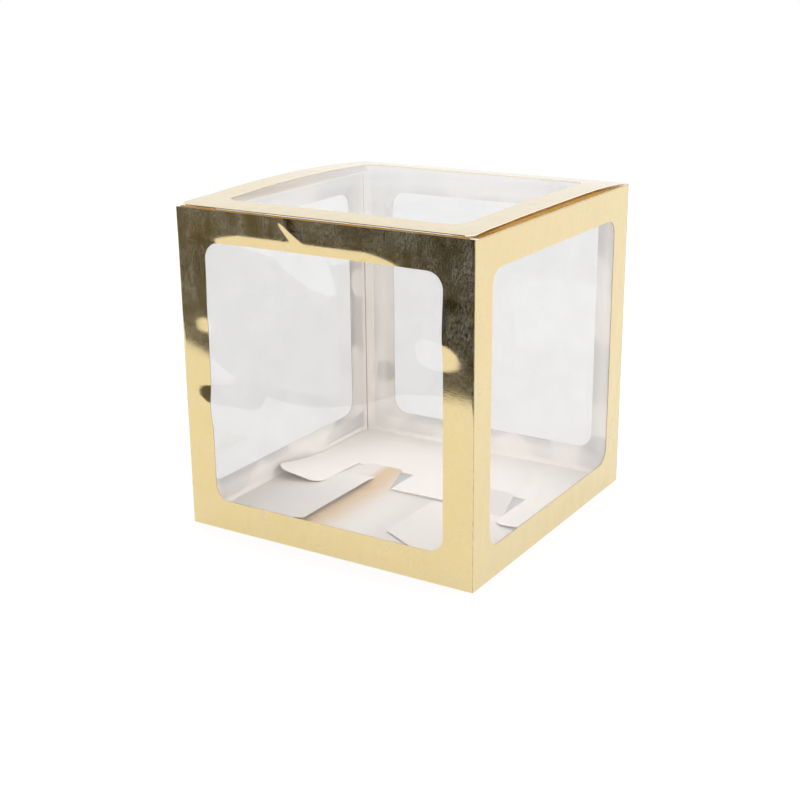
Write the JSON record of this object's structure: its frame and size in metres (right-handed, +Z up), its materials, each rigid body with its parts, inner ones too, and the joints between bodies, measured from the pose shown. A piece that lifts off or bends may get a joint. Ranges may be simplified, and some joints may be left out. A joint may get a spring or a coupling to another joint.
{
  "type": "folding card box",
  "caption": "Cube-shaped foiled card box with a clear window in each wall and in its hinged lid, and a lock-together folding bottom, for collecting cards.",
  "frame": {"origin": "middle of the box's footprint, on the surface it stands on", "axes": "+Z up, -Y towards the front wall (the one the lid tucks into), +X towards the right wall; the lid is hinged on the back wall at +Y"},
  "size_m": [0.3, 0.3, 0.3074],
  "materials": {
    "gold_foil_card": "gold metallised foil laminate outside, white card inside",
    "white_card": "uncoated white",
    "clear_film": "clear polyester film, glossy"
  },
  "bodies": {
    "walls": {"front_panel": "gold_foil_card", "right_panel": "gold_foil_card", "back_panel": "gold_foil_card", "left_panel": "gold_foil_card", "seam_flap": "white_card", "front_film": "clear_film", "right_film": "clear_film", "back_film": "clear_film", "left_film": "clear_film"},
    "lid": {"lid_panel": "gold_foil_card", "lid_film": "clear_film"},
    "tuck_flap": {"lid_tuck_flap": "gold_foil_card"},
    "left_dust": {"left_dust_flap": "gold_foil_card"},
    "right_dust": {"right_dust_flap": "gold_foil_card"},
    "back_bottom": {"back_bottom_flap": "white_card"},
    "left_bottom": {"left_bottom_flap": "white_card"},
    "right_bottom": {"right_bottom_flap": "white_card"},
    "front_bottom": {"front_bottom_flap": "white_card"}
  },
  "joints": [
    {"name": "lid_hinge", "type": "hinge", "parent": "walls", "child": "lid", "pos_m": [0, 0.1497, 0.3006], "axis": [-1, 0, 0], "range_deg": [0, 180]},
    {"name": "tuck_flap_crease", "type": "hinge", "parent": "lid", "child": "tuck_flap", "pos_m": [0, -0.1488, 0.3], "axis": [1, 0, 0], "range_deg": [0, 60]},
    {"name": "left_dust_crease", "type": "hinge", "parent": "walls", "child": "left_dust", "pos_m": [-0.1497, 0, 0.2997], "axis": [0, -1, 0], "range_deg": [0, 90]},
    {"name": "right_dust_crease", "type": "hinge", "parent": "walls", "child": "right_dust", "pos_m": [0.1497, 0, 0.2997], "axis": [0, 1, 0], "range_deg": [0, 90]},
    {"name": "front_bottom_crease", "type": "hinge", "parent": "walls", "child": "front_bottom", "pos_m": [0, -0.1488, 0.0003], "axis": [-1, 0, 0], "range_deg": [0, 125]},
    {"name": "left_bottom_crease", "type": "hinge", "parent": "walls", "child": "left_bottom", "pos_m": [-0.1488, 0, 0.0012], "axis": [0, 1, 0], "range_deg": [0, 62.5]},
    {"name": "right_bottom_crease", "type": "hinge", "parent": "walls", "child": "right_bottom", "pos_m": [0.1488, 0, 0.0012], "axis": [0, -1, 0], "range_deg": [0, 62.5]},
    {"name": "back_bottom_crease", "type": "hinge", "parent": "walls", "child": "back_bottom", "pos_m": [0, 0.1488, 0.0021], "axis": [-1, 0, 0], "range_deg": [0, 84]}
  ],
  "couplings": [
    {"joint": "left_dust_crease", "follows": "lid_hinge", "ratio": 0.5},
    {"joint": "right_dust_crease", "follows": "lid_hinge", "ratio": 0.5},
    {"joint": "left_bottom_crease", "follows": "front_bottom_crease", "ratio": 0.5},
    {"joint": "right_bottom_crease", "follows": "front_bottom_crease", "ratio": 0.5}
  ]
}
